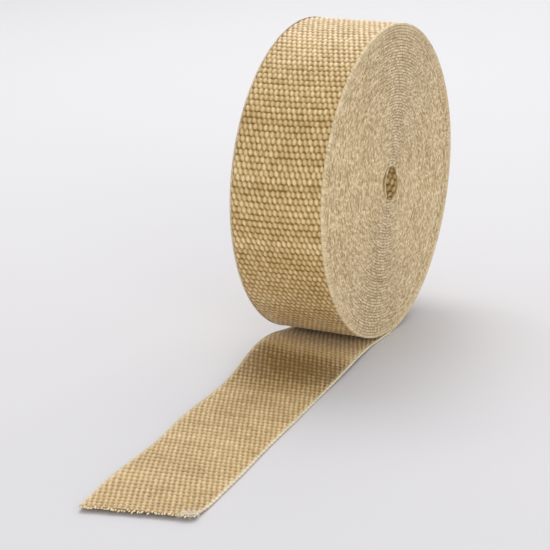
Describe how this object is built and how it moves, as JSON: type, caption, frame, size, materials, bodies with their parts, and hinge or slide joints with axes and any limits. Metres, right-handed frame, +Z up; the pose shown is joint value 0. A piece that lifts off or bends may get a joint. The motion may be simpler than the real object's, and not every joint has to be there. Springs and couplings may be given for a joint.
{
  "type": "exhaust insulation tape roll",
  "caption": "Roll of woven tan glass-fibre heat wrap tape for exhaust pipes, standing on its rolled side, with a small open bore and a free end lying on the floor in front",
  "frame": {"origin": "On the floor, at the middle of the bounding box of the roll and its free end", "axes": "+Z up. The roll's axis runs along X. The free end leads towards -Y, so the roll is at +Y"},
  "size_m": [0.0736, 0.344, 0.1674],
  "materials": {
    "woven_glass_tape": "coarse plain weave of tan glass-fibre rovings, slightly glossy along the yarns, with pale stitched selvages"
  },
  "bodies": {
    "root": {"insulation_tape": "woven_glass_tape"}
  },
  "joints": []
}
